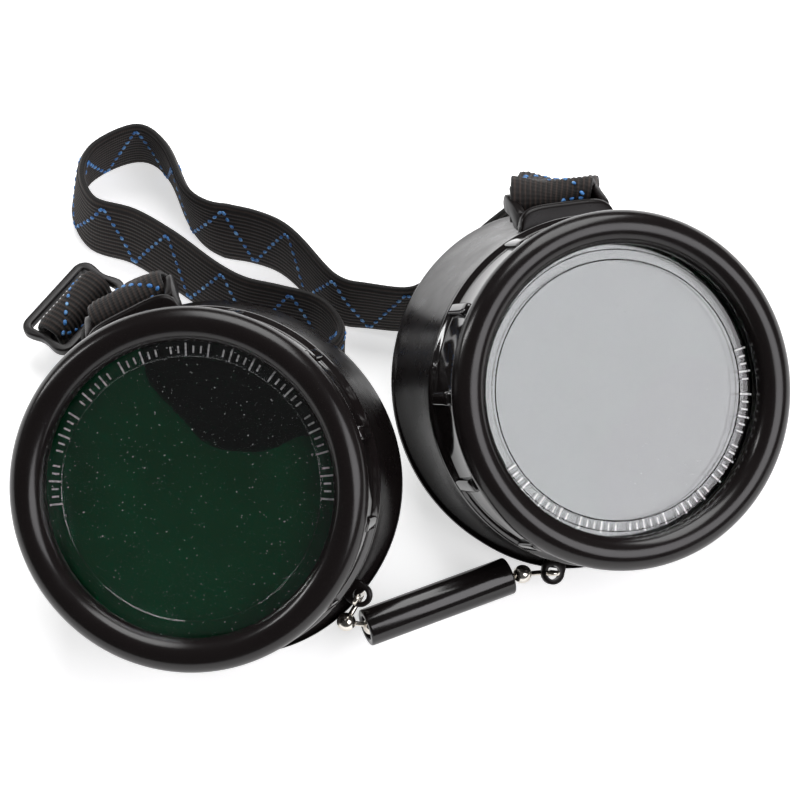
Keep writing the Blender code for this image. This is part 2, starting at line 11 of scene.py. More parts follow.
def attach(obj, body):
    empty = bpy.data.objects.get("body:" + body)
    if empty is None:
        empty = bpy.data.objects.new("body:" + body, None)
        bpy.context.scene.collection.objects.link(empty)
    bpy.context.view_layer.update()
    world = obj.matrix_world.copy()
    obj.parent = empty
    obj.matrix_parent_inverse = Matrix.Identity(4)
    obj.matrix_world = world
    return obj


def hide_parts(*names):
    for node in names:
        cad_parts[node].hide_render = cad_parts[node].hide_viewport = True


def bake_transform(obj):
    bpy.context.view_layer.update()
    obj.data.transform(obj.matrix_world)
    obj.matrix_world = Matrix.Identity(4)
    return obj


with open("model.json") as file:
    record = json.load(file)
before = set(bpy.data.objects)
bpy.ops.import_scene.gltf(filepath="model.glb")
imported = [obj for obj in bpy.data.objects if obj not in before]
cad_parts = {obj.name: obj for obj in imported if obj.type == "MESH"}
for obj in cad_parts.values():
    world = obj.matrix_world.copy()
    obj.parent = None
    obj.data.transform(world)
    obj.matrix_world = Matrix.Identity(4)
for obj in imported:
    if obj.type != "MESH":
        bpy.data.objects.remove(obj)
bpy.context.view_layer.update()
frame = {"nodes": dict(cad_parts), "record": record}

MM = 0.001
JOINTS = {joint["name"]: joint for joint in frame["record"]["behaviour"]["joints"]}

# ---- Sizes shared with the solid model ----
LIP_RADIUS, LIP_ROUND = 25.3 * MM, 2.65 * MM
SKIRT_RADIUS, FLARE_RADIUS = 26.9 * MM, 27.75 * MM
SKIRT_END = -14.2 * MM
BORE_RADIUS, BORE_TOP = 26.1 * MM, -10.1 * MM
POCKET_RADIUS, LEDGE_Z = 25.3 * MM, -4.2 * MM
COVER_TOP = -4.5 * MM
BARREL_TOP, BARREL_RADIUS, BARREL_BORE = -10.5 * MM, 25.2 * MM, 22.9 * MM
SHOULDER_Z, SHOULDER_RADIUS = -14.6 * MM, 27.3 * MM
WALL = 1.8 * MM
RIM_DEPTH, RIM_SLANT = 30.0 * MM, math.radians(20.0)
RIM_SHALLOWEST, RIM_TURN = math.radians(-32.0), math.radians(8.0)
RIM_MEAN, RIM_OVAL, RIM_TEMPLE, RIM_BROW = 27.6, 2.0, 0.2, 1.2      # face rim radius and its swellings, mm
FLARE_AT = math.radians(100.0)      # where the right rim's flare is greatest
NOSE_PINCH = 0.4 * MM               # keeps the rim clear of the chain when the cup swings
THREADS, THREAD_START, THREAD_PITCH = 4, 0.4, 0.9   # barrel thread below the barrel's top, mm
THREAD_CREST = 25.8 * MM
GRIP_BARS = 12
LENS_RADIUS = 22.9 * MM
FILTER_DEPTH = 7.0 * MM             # of the filter glass, below the ring's top
HOOP_RADIUS, EDGE_HOOP_RADIUS = 20.3 * MM, 21.9 * MM
MARK_RADIUS, MARK_EVERY = 21.3 * MM, 3.2            # printed ticks, spacing in degrees
LUG_HALF, LUG_TOP = 8.0 * MM, -16.8 * MM
LUG_BAR_R, LUG_BAR_Z, LUG_BAR_RADIUS = 31.2 * MM, -23.2 * MM, 1.2 * MM
EAR_R, EAR_Z, EAR_RADIUS, EAR_HOLE = 29.4 * MM, -17.2 * MM, 1.9 * MM, 1.1 * MM
STRAP_WIDTH, STRAP_THICK, GAP = 13.0 * MM, 1.5 * MM, 0.3 * MM
RIBS = 15
RIB_PITCH = STRAP_WIDTH / RIBS
WEAVE_PITCH = 0.38 * MM
WAVE_LENGTH = 2 * math.pi / 20.0    # one stripe of Blender's wave texture at scale 1
FLOOR_GAP = 0.1 * MM                # between the strap's lower edge and the floor
EDGE_CENTRE = 6.6                   # height of the centre line of a strap that stands on edge, mm
ZIGZAG = 12.0 * MM                  # one whole zig-zag of the stitching
STITCHES_A_LEG = 8
SLEEVE_ENDS = (Vector((-5.05, -40.5, 8.5)) * MM, Vector((17.5, -30.6, 7.2)) * MM)
SLEEVE_RADIUS, SLEEVE_BORE = 3.0 * MM, 1.85 * MM
LEFT_BEAD = Vector((-8.0, -40.2, 10.0)) * MM
RIGHT_BEAD = Vector((19.6, -30.3, 7.0)) * MM
BEAD_RADIUS = 1.5 * MM
SLIDER_AT = Vector((-53.2, 19.3, 6.0)) * MM
SLIDER_LONG = Vector((0.59, 0.807, 0.0))
SLIDER_TILT = math.radians(8.0)

# Plan of the head strap's centre line in mm, the same points as the solid model's. LEAN says how far the
# strap leans sideways, in degrees, at some of the points.
STRAP_ROUTE = [
    (18.6, 35.0), (14.1, 30.8), (9.1, 25.2), (5.1, 20.8), (1.5, 18.8), (-5.2, 19.5), (-8.9, 20.2),
    (-11.9, 22.4), (-16.6, 28.3), (-20.0, 31.3), (-24.3, 33.1), (-28.5, 34.1), (-32.0, 35.6),
    (-35.0, 39.1), (-38.3, 47.3), (-42.3, 51.4), (-46.9, 50.8), (-52.0, 47.0), (-53.4, 41.2),
    (-50.7, 35.6), (-43.9, 33.1), (-37.3, 28.6), (-30.4, 23.0), (-25.3, 20.1), (-19.8, 18.8),
    (-13.5, 17.0), (-10.1, 13.6), (-9.5, 10.2), (-12.5, 7.6), (-19.6, 8.6), (-27.4, 11.4),
    (-31.4, 12.6),
]
LEAN = {0: 0, 4: 0, 8: -6, 11: -10, 13: 4, 15: 6, 17: 8, 19: 10, 21: 12, 23: 8, 25: 4, 28: 0, 31: 0}

# Angles about each lens axis start at the nose and go up over the brow; turn is the sense of that.
CUPS = {"left": {"turn": 1, "lug": 158.0, "ear": 6.0, "flare": 0.0},
        "right": {"turn": -1, "lug": 145.0, "ear": -15.0, "flare": 1.2 * MM}}

LOOK_AT = (0.35 * MM, 5.4 * MM, 0.0)
CAMERA_DISTANCE = 600.0 * MM
CAMERA_HEIGHT_ANGLE = math.radians(60.0)
VIEW_WIDTH = 2 * 65.57 * MM         # width seen at the distance of the look-at point
FLOOR_HALF = 3.0


# ---- Small tools ----

def new_object(name, mesh, look, smooth=True):
    obj = bpy.data.objects.new(name, mesh)
    bpy.context.scene.collection.objects.link(obj)
    if smooth:
        mesh.shade_smooth()
    mesh.materials.clear()
    mesh.materials.append(look)
    return obj


def mesh_of(build, name):
    bm = bmesh.new()
    build(bm)
    bmesh.ops.recalc_face_normals(bm, faces=bm.faces)
    mesh = bpy.data.meshes.new(name)
    bm.to_mesh(mesh)
    bm.free()
    return mesh


def built(name, build, look, smooth=True):
    """A new object of the mesh that build(bm) makes."""
    return new_object(name, mesh_of(build, name), look, smooth)


def smooth_points(points, steps):
    """Catmull-Rom points through a list of vectors."""
    out, last = [], len(points) - 1
    for i in range(last):
        before, start = points[max(i - 1, 0)], points[i]
        end, after = points[i + 1], points[min(i + 2, last)]
        for k in range(steps):
            t = k / steps
            out.append(0.5 * (2 * start + (end - before) * t
                              + (2 * before - 5 * start + 4 * end - after) * t ** 2
                              + (3 * start - before - 3 * end + after) * t ** 3))
    out.append(points[last].copy())
    return out


def tangents(points):
    last = len(points) - 1
    return [(points[min(i + 1, last)] - points[max(i - 1, 0)]).normalized() for i in range(last + 1)]


def even_spacing(points, widths, step):
    """Resample a path and its width directions at an even spacing."""
    lengths = [0.0]
    for a, b in zip(points, points[1:]):
        lengths.append(lengths[-1] + (b - a).length)
    count = max(2, round(lengths[-1] / step))
    out_points, out_widths, k = [], [], 0
    for i in range(count + 1):
        want = lengths[-1] * i / count
        while k < len(points) - 2 and lengths[k + 1] < want:
            k += 1
        t = (want - lengths[k]) / max(lengths[k + 1] - lengths[k], 1e-9)
        out_points.append(points[k].lerp(points[k + 1], t))
        out_widths.append(widths[k].lerp(widths[k + 1], t).normalized())
    return out_points, out_widths, lengths[-1]


def loft(bm, rows, cap=True, closed=False):
    """Join rows of equal length, each a closed outline, into a skin."""
    made = [[bm.verts.new(point) for point in row] for row in rows]
    count = len(made[0])
    pairs = list(zip(made, made[1:])) + ([(made[-1], made[0])] if closed else [])
    for first, second in pairs:
        for k in range(count):
            bm.faces.new((first[k], first[(k + 1) % count], second[(k + 1) % count], second[k]))
    if cap and not closed:
        bm.faces.new(reversed(made[0]))
        bm.faces.new(made[-1])


def circle(radius, count):
    return [(radius * math.cos(2 * math.pi * k / count), radius * math.sin(2 * math.pi * k / count))
            for k in range(count)]


def sweep(bm, path, section, widths=None, scales=None):
    """Sweep a flat section along a path. widths gives the section's x direction at each point."""
    along = tangents(path)
    side, rows = None, []
    for i, (centre, forward) in enumerate(zip(path, along)):
        if widths is not None:
            side = widths[i]
        elif side is None:
            side = forward.orthogonal()
        side = (side - forward * side.dot(forward)).normalized()
        up = forward.cross(side)
        scale = scales[i] if scales else 1.0
        rows.append([centre + side * (x * scale) + up * (y * scale) for x, y in section])
    loft(bm, rows)


def blob(bm, matrix, around=8, rings=4):
    """A small ball, stretched and placed by a matrix."""
    top, foot = bm.verts.new(matrix @ Vector((0, 0, 1))), bm.verts.new(matrix @ Vector((0, 0, -1)))
    rows = []
    for r in range(1, rings + 1):
        tilt = math.pi * r / (rings + 1)
        rows.append([bm.verts.new(matrix @ Vector((math.sin(tilt) * math.cos(2 * math.pi * k / around),
                                                   math.sin(tilt) * math.sin(2 * math.pi * k / around),
                                                   math.cos(tilt)))) for k in range(around)])
    for k in range(around):
        after = (k + 1) % around
        bm.faces.new((top, rows[0][k], rows[0][after]))
        bm.faces.new((foot, rows[-1][after], rows[-1][k]))
        for upper, lower in zip(rows, rows[1:]):
            bm.faces.new((upper[k], lower[k], lower[after], upper[after]))


def turned_rows(profile, segments):
    """A turned profile of (radius, z) points at each step round the Z axis."""
    rows = []
    for i in range(segments):
        a = 2 * math.pi * i / segments
        rows.append([Vector((r * math.cos(a), r * math.sin(a), z)) for r, z in profile])
    return rows


def arc(cx, cz, radius, start, end, steps):
    """Points of a circular arc in a turned profile; angles from straight up, clockwise."""
    return [(cx + radius * math.sin(math.radians(start + (end - start) * k / steps)),
             cz + radius * math.cos(math.radians(start + (end - start) * k / steps)))
            for k in range(steps + 1)]


# ---- Lens frames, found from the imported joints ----

def direction(cup, degrees):
    """Outward from the lens axis at an angle from the nose, in the lens frame."""
    theta = math.radians(cup["turn"] * degrees)
    return Vector((math.cos(theta), math.sin(theta), 0.0))


def lens_matrix(side):
    """Lens frame: origin at the ring's top, Z out of the glass, X at the nose."""
    ring = JOINTS[side + "_ring_turn"]
    ear = Vector(JOINTS[side + "_cup_swivel"]["pos_m"])
    origin, axis = Vector(ring["pos_m"]), Vector(ring["axis"]).normalized()
    toward = ear - origin
    toward = (toward - axis * toward.dot(axis)).normalized()
    turn = Matrix((toward, axis.cross(toward), axis)).transposed().to_4x4()
    back = Matrix.Rotation(-math.radians(CUPS[side]["turn"] * CUPS[side]["ear"]), 4, "Z")
    return Matrix.Translation(origin) @ turn @ back


LENS = {side: lens_matrix(side) for side in CUPS}


def rim_radius(phi, flare):
    """Radius of the face rim; flare is the extra curl of its brow side."""
    bend = phi - RIM_TURN
    temple, brow = max(0.0, -math.cos(bend)), max(0.0, math.sin(bend))
    curl = flare * max(0.0, math.cos(phi - FLARE_AT)) ** 2
    pinch = NOSE_PINCH * max(0.0, math.cos(phi)) ** 6
    base = RIM_MEAN + RIM_OVAL * math.cos(2 * bend) + RIM_TEMPLE * temple ** 2 + RIM_BROW * brow
    return base * MM + (curl - pinch)


def rim_z(phi, radius):
    return -(RIM_DEPTH - math.tan(RIM_SLANT) * radius * math.cos(phi - RIM_SHALLOWEST))


# ---- Materials ----

def new_material(name):
    made = bpy.data.materials.new(name)
    made.use_nodes = True
    nodes, links = made.node_tree.nodes, made.node_tree.links
    return made, nodes, links, nodes["Principled BSDF"]


def noise(nodes, links, scale, detail):
    where = nodes.new("ShaderNodeTexCoord")
    texture = nodes.new("ShaderNodeTexNoise")
    texture.inputs["Scale"].default_value = scale
    texture.inputs["Detail"].default_value = detail
    texture.inputs["Roughness"].default_value = 0.55
    links.new(where.outputs["Object"], texture.inputs["Vector"])
    return texture


def ramp(nodes, links, source, stops):
    made = nodes.new("ShaderNodeValToRGB")
    links.new(source, made.inputs["Fac"])
    elements = made.color_ramp.elements
    while len(elements) < len(stops):
        elements.new(0.5)
    for element, (place, colour) in zip(elements, stops):
        element.position = place
        element.color = (*colour, 1.0)
    return made.outputs["Color"]


def grey(value):
    return (value, value, value)


def bump(nodes, links, shader, source, strength, distance):
    made = nodes.new("ShaderNodeBump")
    made.inputs["Strength"].default_value = strength
    made.inputs["Distance"].default_value = distance
    links.new(source, made.inputs["Height"])
    links.new(made.outputs["Normal"], shader.inputs["Normal"])


def plastic(name, colour, smooth, rough, texture_depth, dust, shine=0.42):
    """Moulded black plastic: slight flow marks, a fine mould texture and a trace of dust."""
    made, nodes, links, shader = new_material(name)
    specks = noise(nodes, links, 5200.0, 2.0)
    lifted = tuple(c + dust for c in colour)
    links.new(ramp(nodes, links, specks.outputs["Fac"],
                   [(0.0, colour), (0.70, colour), (0.78, lifted), (1.0, lifted)]),
              shader.inputs["Base Color"])
    flow = noise(nodes, links, 160.0, 6.0)
    links.new(ramp(nodes, links, flow.outputs["Fac"], [(0.3, grey(smooth)), (0.7, grey(rough))]),
              shader.inputs["Roughness"])
    fine = noise(nodes, links, 2600.0, 3.0)
    bump(nodes, links, shader, fine.outputs["Fac"], texture_depth, 0.00005)
    shader.inputs["Specular IOR Level"].default_value = shine
    return made


def glass_cover():
    """Clear glass with specks of dust and faint smears."""
    made, nodes, links, shader = new_material("clear_cover_glass")
    shader.inputs["Base Color"].default_value = (0.94, 0.97, 0.97, 1.0)
    shader.inputs["IOR"].default_value = 1.5
    specks = noise(nodes, links, 2600.0, 2.0)
    links.new(ramp(nodes, links, specks.outputs["Fac"],
                   [(0.0, grey(1.0)), (0.725, grey(1.0)), (0.755, grey(0.35))]),
              shader.inputs["Transmission Weight"])
    smears = noise(nodes, links, 90.0, 5.0)
    links.new(ramp(nodes, links, smears.outputs["Fac"], [(0.35, grey(0.0)), (0.75, grey(0.05))]),
              shader.inputs["Roughness"])
    return made


def glass_filter(name, low, high, painted_shade_at, painted_shade_reach):
    """Opaque welding glass: a cloudy deep green that stands for light seen through the glass, with one
    painted shade patch that has a wavy edge.
    """
    made, nodes, links, shader = new_material(name)
    where = nodes.new("ShaderNodeTexCoord")
    cloud = noise(nodes, links, 38.0, 3.0)
    green = ramp(nodes, links, cloud.outputs["Fac"], [(0.35, low), (0.65, high)])
    # The painted shade patch: near-black inside a wavy circle round its centre, multiplied into the green.
    wave = noise(nodes, links, 75.0, 1.5)
    waviness = 7.0 * MM
    sway = nodes.new("ShaderNodeVectorMath")
    sway.operation = "MULTIPLY_ADD"
    sway.inputs[1].default_value = (waviness,) * 3
    links.new(wave.outputs["Color"], sway.inputs[0])
    links.new(where.outputs["Object"], sway.inputs[2])
    reach = nodes.new("ShaderNodeVectorMath")
    reach.operation = "DISTANCE"
    reach.inputs[1].default_value = tuple(painted_shade_at + Vector((waviness / 2,) * 3))
    links.new(sway.outputs["Vector"], reach.inputs[0])
    scaled = nodes.new("ShaderNodeMath")
    scaled.operation = "DIVIDE"
    scaled.inputs[1].default_value = painted_shade_reach * 2
    links.new(reach.outputs["Value"], scaled.inputs[0])
    painted_shade = ramp(nodes, links, scaled.outputs["Value"],
                 [(0.0, grey(0.03)), (0.49, grey(0.03)), (0.505, grey(1.0))])
    mix = nodes.new("ShaderNodeMix")
    mix.data_type = "RGBA"
    mix.blend_type = "MULTIPLY"
    mix.inputs["Factor"].default_value = 1.0
    links.new(green, mix.inputs["A"])
    links.new(painted_shade, mix.inputs["B"])
    links.new(mix.outputs["Result"], shader.inputs["Base Color"])
    shader.inputs["Roughness"].default_value = 0.03
    shader.inputs["IOR"].default_value = 1.52
    ripple = noise(nodes, links, 26.0, 1.0)
    bump(nodes, links, shader, ripple.outputs["Fac"], 0.25, 0.0006)
    return made


def bands(nodes, links, across, pitch, distortion):
    """Stripes at a pitch in metres, along one axis of the texture coordinates."""
    where = nodes.new("ShaderNodeTexCoord")
    made = nodes.new("ShaderNodeTexWave")
    made.wave_type = "BANDS"
    made.bands_direction = across
    made.inputs["Scale"].default_value = WAVE_LENGTH / pitch
    made.inputs["Distortion"].default_value = distortion
    made.inputs["Detail"].default_value = 2.0
    links.new(where.outputs["UV"], made.inputs["Vector"])
    return made


def elastic():
    """Black-brown ribbed elastic: stripes along the strap, lighter on the rib crests as a painted highlight
    and mixed with thread noise, with a fine cross weave.
    """
    made, nodes, links, shader = new_material("ribbed_elastic")
    weave = bands(nodes, links, "X", WEAVE_PITCH, 2.2)
    # Stripes along the strap whose light part falls on the rib crests: a painted highlight.
    painted_crest_highlight = bands(nodes, links, "Y", RIB_PITCH, 0.35)
    thread = noise(nodes, links, 900.0, 3.0)
    mix = nodes.new("ShaderNodeMix")
    mix.data_type = "RGBA"
    mix.inputs["Factor"].default_value = 0.42
    links.new(painted_crest_highlight.outputs["Color"], mix.inputs["A"])
    links.new(thread.outputs["Color"], mix.inputs["B"])
    links.new(ramp(nodes, links, mix.outputs["Result"],
                   [(0.25, (0.004, 0.003, 0.0025)), (0.60, (0.0085, 0.0052, 0.0044)),
                    (0.86, (0.040, 0.025, 0.019))]),
              shader.inputs["Base Color"])
    shader.inputs["Roughness"].default_value = 0.78
    shader.inputs["Sheen Weight"].default_value = 0.10
    shader.inputs["Sheen Roughness"].default_value = 0.45
    bump(nodes, links, shader, weave.outputs["Color"], 0.30, 0.00010)
    return made


def thread_blue():
    made, nodes, links, shader = new_material("blue_stitching")
    tone = noise(nodes, links, 1400.0, 2.0)
    links.new(ramp(nodes, links, tone.outputs["Fac"],
                   [(0.30, (0.016, 0.085, 0.30)), (0.52, (0.050, 0.22, 0.56)), (0.72, (0.30, 0.56, 0.85))]),
              shader.inputs["Base Color"])
    shader.inputs["Roughness"].default_value = 0.45
    return made


def nickel():
    made, nodes, links, shader = new_material("nickel_plate")
    shader.inputs["Metallic"].default_value = 1.0
    tone = noise(nodes, links, 420.0, 4.0)
    links.new(ramp(nodes, links, tone.outputs["Fac"], [(0.3, (0.52, 0.48, 0.42)), (0.7, (0.78, 0.75, 0.70))]),
              shader.inputs["Base Color"])
    links.new(ramp(nodes, links, tone.outputs["Fac"], [(0.3, grey(0.12)), (0.7, grey(0.24))]),
              shader.inputs["Roughness"])
    return made


def print_ink(name, worn, fresh):
    """Printed marking, in greys between worn and fresh."""
    made, nodes, links, shader = new_material(name)
    wear = noise(nodes, links, 2400.0, 3.0)
    links.new(ramp(nodes, links, wear.outputs["Fac"], [(0.35, grey(worn)), (0.6, grey(fresh))]),
              shader.inputs["Base Color"])
    shader.inputs["Roughness"].default_value = 0.6
    return made


def fibre():
    made, nodes, links, shader = new_material("fibre_board")
    grain = noise(nodes, links, 1800.0, 5.0)
    links.new(ramp(nodes, links, grain.outputs["Fac"],
                   [(0.3, (0.05, 0.045, 0.04)), (0.7, (0.12, 0.11, 0.10))]),
              shader.inputs["Base Color"])
    shader.inputs["Roughness"].default_value = 0.85
    bump(nodes, links, shader, grain.outputs["Fac"], 0.4, 0.0001)
    return made


def floor_material():
    """Near-white floor that gives off a little light of its own, which keeps shadows faint."""
    made, nodes, links, shader = new_material("pale_floor")
    tone = noise(nodes, links, 30.0, 3.0)
    links.new(ramp(nodes, links, tone.outputs["Fac"], [(0.2, grey(0.93)), (0.8, grey(0.95))]),
              shader.inputs["Base Color"])
    shader.inputs["Roughness"].default_value = 0.9
    shader.inputs["Specular IOR Level"].default_value = 0.1
    shader.inputs["Emission Color"].default_value = (1.0, 1.0, 1.0, 1.0)
    shader.inputs["Emission Strength"].default_value = 0.62
    return made


def in_lens(side, across, up):
    """A point of the filter glass, in lens radii to the right and up for a viewer at the camera's height,
    used as the centre of a painted shade patch.
    """
    origin, axis = LENS[side].translation, LENS[side].to_3x3() @ Vector((0, 0, 1))
    seen = Vector((across, up * 0.866, up * 0.5)) * LENS_RADIUS
    return origin + seen - axis * seen.dot(axis) - axis * FILTER_DEPTH


CUP_PLASTIC = plastic("cup_plastic", (0.0075, 0.0058, 0.0058), 0.22, 0.34, 0.05, 0.02, 0.17)
RING_PLASTIC = plastic("ring_plastic", (0.0085, 0.0066, 0.0066), 0.17, 0.25, 0.08, 0.025, 0.34)
SKIRT_PLASTIC = plastic("skirt_plastic", (0.0085, 0.0066, 0.0066), 0.05, 0.11, 0.05, 0.02, 0.75)
SLIDER_PLASTIC = plastic("slider_plastic", (0.010, 0.008, 0.008), 0.30, 0.42, 0.15, 0.02)
VINYL = plastic("vinyl_sleeve", (0.0075, 0.0060, 0.0060), 0.10, 0.17, 0.08, 0.02)
COVER_GLASS = glass_cover()
# One glass in two copies: the left green is brighter, painted light seen through the lens, and each has a
# painted shade patch, on the left the cup's dark inside.
LEFT_FILTER = glass_filter("dark_green_glass", (0.0008, 0.042, 0.0150), (0.0016, 0.062, 0.0240),
                           in_lens("left", 0.42, 1.05), 0.78 * LENS_RADIUS)
RIGHT_FILTER = glass_filter("dark_green_glass_right", (0.0010, 0.016, 0.0065), (0.0020, 0.024, 0.0100),
                            in_lens("right", 0.70, -0.60), 0.80 * LENS_RADIUS)
ELASTIC = elastic()
THREAD = thread_blue()
NICKEL = nickel()
LEFT_INK = print_ink("pale_marking", 0.18, 0.55)
RIGHT_INK = print_ink("white_marking", 0.75, 0.98)
FIBRE = fibre()


# ---- Eye pieces ----

def place(obj, matrix):
    obj.data.transform(matrix)


def retaining_ring(side):
    """Rounded lip, neck, skirt with twelve grip bars, flared hem, bore and lens pocket."""
    profile = arc(LIP_RADIUS, -LIP_ROUND, LIP_ROUND, -100, 118, 26)
    profile += [(26.98 * MM, -4.55 * MM), (SKIRT_RADIUS, -4.9 * MM), (SKIRT_RADIUS, -12.2 * MM)]
    profile += [(27.02 * MM, -12.7 * MM), (27.4 * MM, -13.15 * MM), (FLARE_RADIUS - 0.12 * MM, -13.45 * MM),
                (FLARE_RADIUS, -13.65 * MM), (FLARE_RADIUS, SKIRT_END + 0.15 * MM),
                (FLARE_RADIUS - 0.15 * MM, SKIRT_END), (BORE_RADIUS, SKIRT_END), (BORE_RADIUS, BORE_TOP),
                (POCKET_RADIUS, BORE_TOP), (POCKET_RADIUS, LEDGE_Z), (22.95 * MM, LEDGE_Z),
                (22.80 * MM, LEDGE_Z + 0.15 * MM)]

    bar_path = [Vector((26.75, 0, z)) * MM for z in (-6.2, -6.4, -6.8, -8.0, -10.0, -12.0, -13.5)]
    bar_scales = [0.5, 0.85] + [1.0] * 5
    bar_section = [(x * MM, y * MM) for x, y in ((-1.1, -0.5), (-1.1, 0.45), (-1.02, 0.72), (-0.75, 0.9),
                                                 (0.75, 0.9), (1.02, 0.72), (1.1, 0.45), (1.1, -0.5))]

    def build(bm):
        loft(bm, turned_rows(profile, 192), closed=True)
        for i in range(GRIP_BARS):
            spin = Matrix.Rotation(2 * math.pi * i / GRIP_BARS, 4, "Z")
            made_before = len(bm.verts)
            sweep(bm, bar_path, bar_section, [Vector((0, 1, 0))] * len(bar_path), bar_scales)
            bm.verts.ensure_lookup_table()
            bmesh.ops.transform(bm, matrix=spin, verts=bm.verts[made_before:])

    ring = built(side + "_ring", build, RING_PLASTIC)
    ring.data.set_sharp_from_angle(angle=math.radians(42.0))
    ring.data.materials.append(SKIRT_PLASTIC)
    below_lip = -4.8 * MM
    for face in ring.data.polygons:
        if face.center.z < below_lip:
            face.material_index = 1
    place(ring, LENS[side])
    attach(ring, side + "_ring")
    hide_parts(side + "_retaining_ring")


def cup_outline(phi, flare):
    """Closed outline of the cup wall at an angle phi, as (radius, z) points."""
    rim = rim_radius(phi, flare)
    points = [(BARREL_RADIUS, BARREL_TOP)]
    for k in range(THREADS):
        z = BARREL_TOP - (THREAD_START + THREAD_PITCH * k) * MM
        points += [(BARREL_RADIUS, z), (THREAD_CREST, z - 0.25 * MM), (THREAD_CREST, z - 0.45 * MM),
                   (BARREL_RADIUS, z - 0.7 * MM)]
    points += [(BARREL_RADIUS, SHOULDER_Z), (SHOULDER_RADIUS - 0.25 * MM, SHOULDER_Z),
               (SHOULDER_RADIUS, SHOULDER_Z - 0.25 * MM)]
    start = SHOULDER_Z - WALL

    def wall(t, inset):
        radius = SHOULDER_RADIUS + (rim - SHOULDER_RADIUS) * t ** 2.6 - inset
        end = rim_z(phi, rim - inset)
        return radius, start + (end - start) * t

    steps, reach = 12, 0.93             # the wall stops short of the rim's rounded edge
    points += [wall(k / steps * reach, 0.0) for k in range(steps + 1)]
    points += [(rim + dr * MM, rim_z(phi, rim) + dz * MM)
               for dr, dz in ((-0.05, 0.95), (0.0, 0.60), (-0.03, 0.30), (-0.16, 0.08), (-0.4, 0.0))]
    points += [(rim - dr * MM, rim_z(phi, rim - dr * MM) + dz * MM)
               for dr, dz in ((1.4, 0.0), (1.68, 0.12), (1.8, 0.45))]
    points += [wall(k / steps * reach, WALL) for k in range(steps, -1, -1)]
    points += [(BARREL_BORE + 0.4 * MM, start), (BARREL_BORE, start + 0.3 * MM), (BARREL_BORE, BARREL_TOP)]
    return points


def cup_shell(side):
    cup = CUPS[side]

    def build(bm):
        rows, segments = [], 168
        for i in range(segments):
            phi = 2 * math.pi * i / segments
            outward = direction(cup, math.degrees(phi))
            rows.append([outward * r + Vector((0, 0, z)) for r, z in cup_outline(phi, cup["flare"])])
        loft(bm, rows, closed=True)

    shell = built(side + "_cup_shell", build, CUP_PLASTIC)
    shell.data.set_sharp_from_angle(angle=math.radians(50.0))
    place(shell, LENS[side])
    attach(shell, side + "_cup")
    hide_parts(side + "_eyecup")


def local(cup, degrees):
    """Lens-frame matrix with X out from the lens axis at an angle phi."""
    outward = direction(cup, degrees)
    return Matrix.Rotation(math.atan2(outward.y, outward.x), 4, "Z")


def strap_lug(side):
    """Guard arch, cheeks and strap bar."""
    cup = CUPS[side]
    turn = LENS[side] @ local(cup, cup["lug"])
    half = LUG_HALF
    root, foot, bulge, thick = 26.2 * MM, 27.3 * MM, 2.9 * MM, 1.8
    # The guard's rounded edge: how far inside its reach, and how far below its top
    edge = [(0.85, 0.0), (0.45, 0.12), (0.12, 0.5), (0.0, 1.0), (0.15, 1.5), (0.5, 1.75), (0.9, thick)]

    def build(bm):
        rows, count = [], 28
        for k in range(-count, count + 1):
            share = k / count
            reach = foot + bulge * math.sqrt(max(0.0, 1.0 - abs(share) ** 5))
            section = [(root, 0.0)] + [(reach - inset * MM, drop) for inset, drop in edge] + [(root, thick)]
            rows.append([Vector((r, half * share, LUG_TOP - drop * MM)) for r, drop in section])
        loft(bm, rows)
        outline = [(26.4, -18.2), (28.8, -18.1), (29.7, -18.6), (31.2, -20.8), (32.4, -22.8), (32.2, -24.0),
                   (31.2, -24.6), (30.0, -24.2), (29.3, -22.8), (28.4, -21.4), (26.8, -20.6)]
        ring = [Vector((r, 0.0, z)) * MM for r, z in outline]
        ring = smooth_points(ring + ring[:1], 3)[:-1]
        middle = sum(ring, Vector()) / len(ring)
        for sign in (1, -1):
            skins = []
            for y, inset in ((-0.7, 0.12), (-0.5, 0.0), (0.5, 0.0), (0.7, 0.12)):
                shift = Vector((0, sign * (half - 0.85 * MM) + y * MM, 0))
                skins.append([middle + (point - middle) * (1.0 - inset) + shift for point in ring])
            loft(bm, skins)
        bar = [Vector((LUG_BAR_R, y * (half - 0.7 * MM), LUG_BAR_Z)) for y in (-1.0, -0.5, 0.0, 0.5, 1.0)]
        sweep(bm, bar, circle(LUG_BAR_RADIUS * 0.95, 20))

    lug = built(side + "_strap_lug", build, CUP_PLASTIC)
    lug.data.set_sharp_from_angle(angle=math.radians(55.0))
    place(lug, turn)
    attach(lug, side + "_cup")


def nose_ear(side):
    """The flat nose lug, rounded about its hole."""
    cup = CUPS[side]
    turn = LENS[side] @ local(cup, cup["ear"])
    half, edge = 0.6 * MM, 0.2 * MM
    low, high = Vector((0, 0, EAR_Z - half)), Vector((0, 0, EAR_Z + half))
    lift = Vector((0, 0, edge))

    def build(bm):
        rows, count = [], 40
        for k in range(count):
            a = 2 * math.pi * k / count
            x, y = math.cos(a), math.sin(a)
            reach = EAR_RADIUS * (1.0 + 0.55 * max(0.0, -x - 0.2))      # drawn out toward the cup
            outer = Vector((EAR_R + reach * x, reach * y, 0))
            inner = Vector((EAR_R + EAR_HOLE * x, EAR_HOLE * y, 0))
            step = (outer - inner).normalized() * edge
            rows.append([inner + high, outer - step + high, outer + high - lift,
                         outer + low + lift, outer - step + low, inner + low])
        loft(bm, rows, closed=True)

    ear = built(side + "_nose_ear", build, CUP_PLASTIC)
    ear.data.set_sharp_from_angle(angle=math.radians(50.0))
    place(ear, turn)
    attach(ear, side + "_cup")


